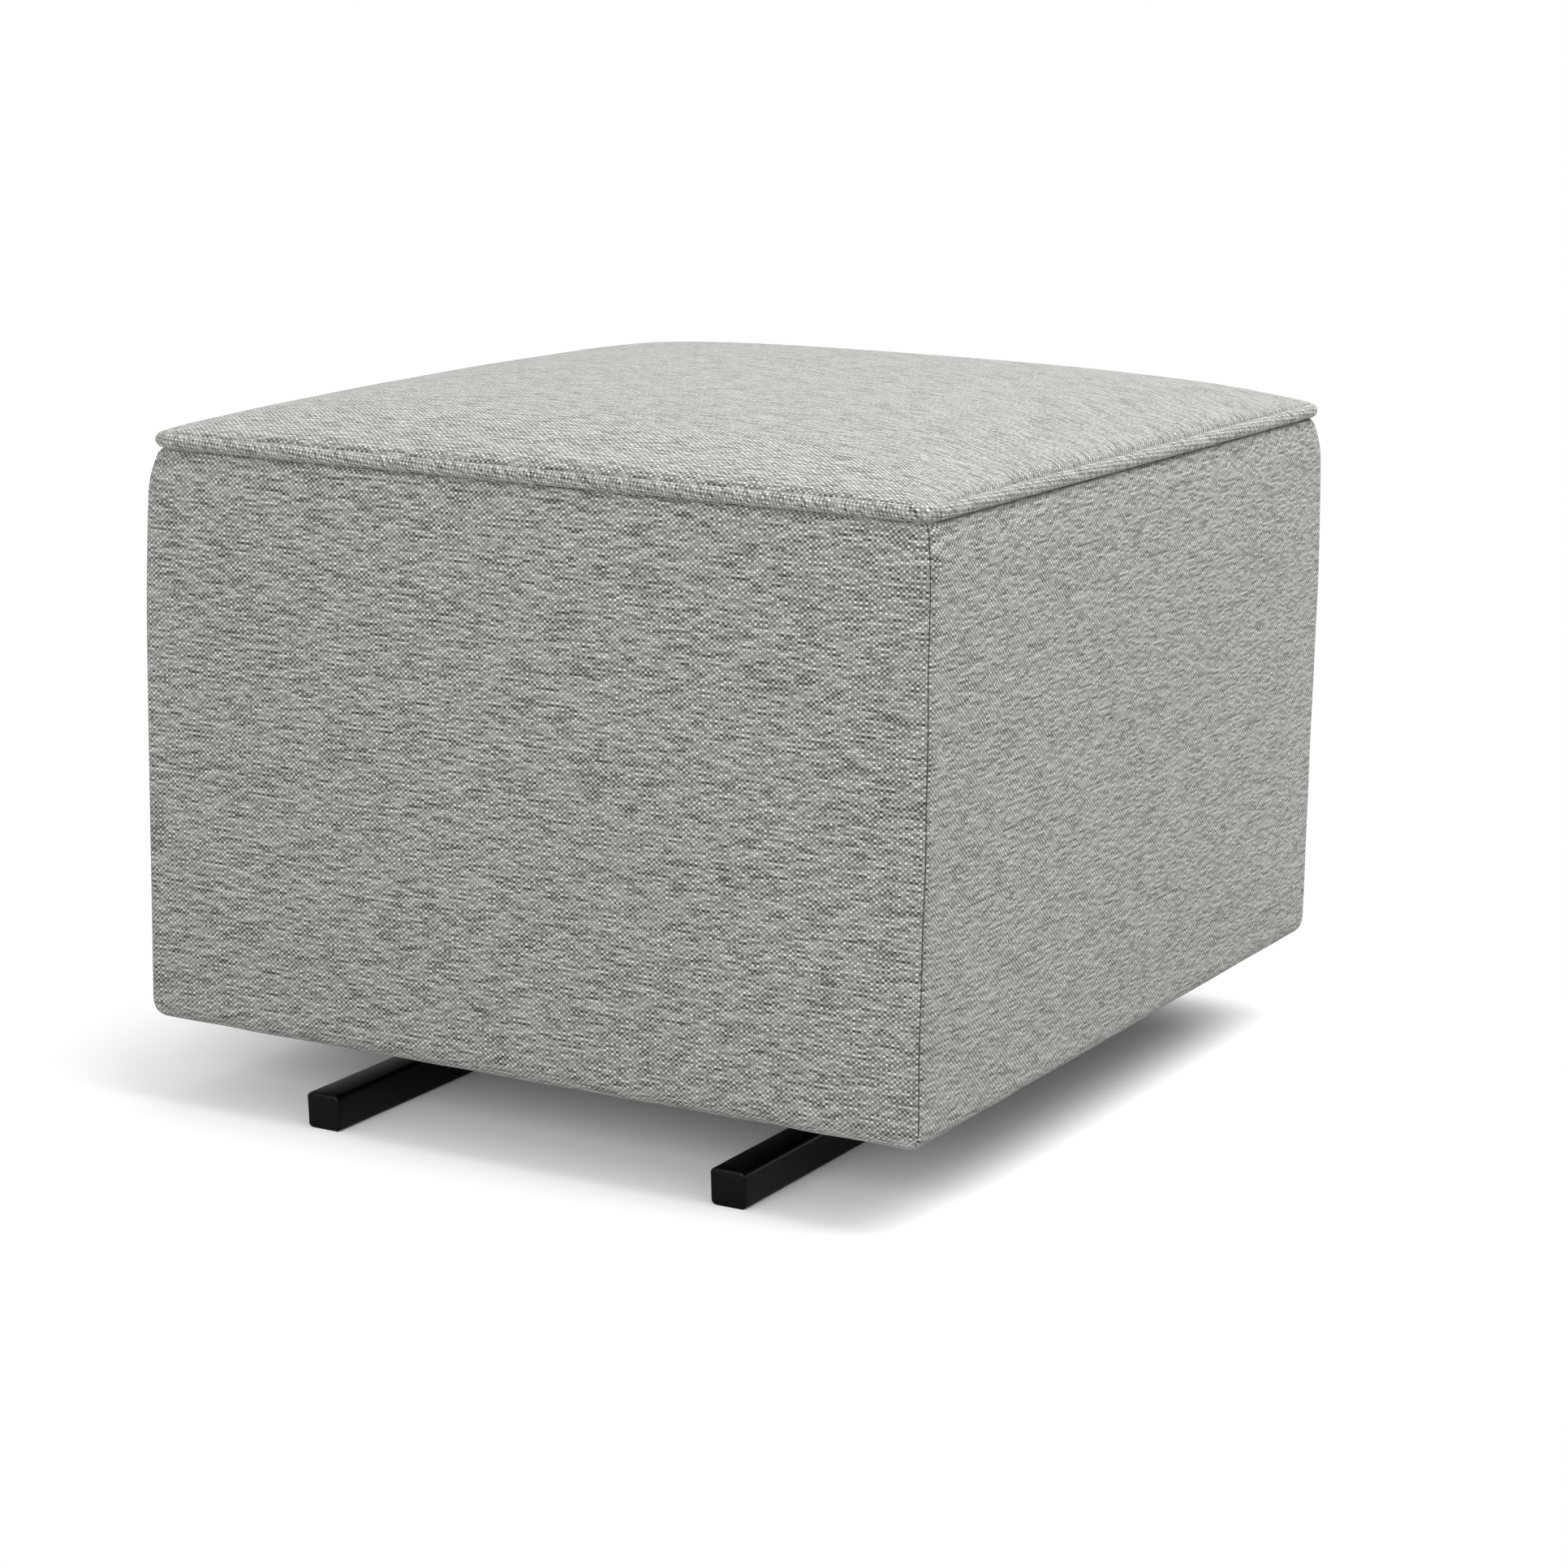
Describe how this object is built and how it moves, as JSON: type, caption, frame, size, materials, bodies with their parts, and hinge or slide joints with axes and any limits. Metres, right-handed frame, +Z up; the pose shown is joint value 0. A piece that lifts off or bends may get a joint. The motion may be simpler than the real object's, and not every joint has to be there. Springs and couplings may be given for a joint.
{
  "type": "glider ottoman",
  "caption": "Square upholstered footstool with a welted, crowned top that glides fore and aft on swing arms above two black floor rails.",
  "frame": {"origin": "on the floor under the middle of the upholstered box at rest", "axes": "+Z up, front is -Y, +X to the right seen from the front; the box glides along Y"},
  "size_m": [0.5112, 0.5588, 0.4128],
  "materials": {
    "upholstery_fabric": "matte",
    "foam_and_wadding": "matte",
    "dust_cloth": "matte",
    "plywood": "matte",
    "hardwood": "matte",
    "black_steel": "satin",
    "plated_steel": "satin",
    "buffer_rubber": "matte"
  },
  "bodies": {
    "base": {"floor_rail_left": "black_steel", "floor_rail_right": "black_steel", "rail_end_caps": "black_steel", "floor_cross_tube_front": "black_steel", "floor_cross_tube_rear": "black_steel", "post_front_left": "black_steel", "post_front_right": "black_steel", "post_rear_left": "black_steel", "post_rear_right": "black_steel", "upper_rail_left": "black_steel", "upper_rail_right": "black_steel", "upper_cross_tube": "black_steel", "stop_buffers": "buffer_rubber", "upper_pivot_bolts": "plated_steel"},
    "arm_front_left": {"swing_arm_front_left": "black_steel"},
    "arm_front_right": {"swing_arm_front_right": "black_steel"},
    "arm_rear_left": {"swing_arm_rear_left": "black_steel"},
    "arm_rear_right": {"swing_arm_rear_right": "black_steel"},
    "ottoman": {"cover_top": "upholstery_fabric", "cover_front": "upholstery_fabric", "cover_rear": "upholstery_fabric", "cover_left": "upholstery_fabric", "cover_right": "upholstery_fabric", "welt_cord": "upholstery_fabric", "foam_pad": "foam_and_wadding", "padding_front": "foam_and_wadding", "padding_rear": "foam_and_wadding", "padding_left": "foam_and_wadding", "padding_right": "foam_and_wadding", "dust_cover_left": "dust_cloth", "dust_cover_centre": "dust_cloth", "dust_cover_right": "dust_cloth", "side_board_left": "plywood", "side_board_right": "plywood", "front_board": "plywood", "rear_board": "plywood", "deck_board": "plywood", "corner_blocks": "hardwood", "mounting_cleat_left": "hardwood", "mounting_cleat_right": "hardwood", "carrier_bar_left": "black_steel", "carrier_bar_right": "black_steel", "crossbar_front": "black_steel", "crossbar_rear": "black_steel", "lower_pivot_bolts": "plated_steel", "lower_pivot_nuts": "plated_steel", "mounting_screws": "plated_steel"}
  },
  "joints": [
    {"name": "glide", "type": "hinge", "parent": "base", "child": "arm_front_left", "pos_m": [-0.15669, -0.1, 0.237], "axis": [1, 0, 0], "range_deg": [-16, 16]},
    {"name": "front_right_arm_pivot", "type": "hinge", "parent": "base", "child": "arm_front_right", "pos_m": [0.15669, -0.1, 0.237], "axis": [1, 0, 0], "range_deg": [-16, 16]},
    {"name": "rear_left_arm_pivot", "type": "hinge", "parent": "base", "child": "arm_rear_left", "pos_m": [-0.15669, 0.1, 0.237], "axis": [1, 0, 0], "range_deg": [-16, 16]},
    {"name": "rear_right_arm_pivot", "type": "hinge", "parent": "base", "child": "arm_rear_right", "pos_m": [0.15669, 0.1, 0.237], "axis": [1, 0, 0], "range_deg": [-16, 16]},
    {"name": "ottoman_pivot", "type": "hinge", "parent": "arm_front_left", "child": "ottoman", "pos_m": [-0.15669, -0.1, 0.072], "axis": [1, 0, 0], "range_deg": [-16, 16]}
  ],
  "couplings": [
    {"joint": "front_right_arm_pivot", "follows": "glide", "ratio": 1},
    {"joint": "rear_left_arm_pivot", "follows": "glide", "ratio": 1},
    {"joint": "rear_right_arm_pivot", "follows": "glide", "ratio": 1},
    {"joint": "ottoman_pivot", "follows": "glide", "ratio": -1}
  ]
}
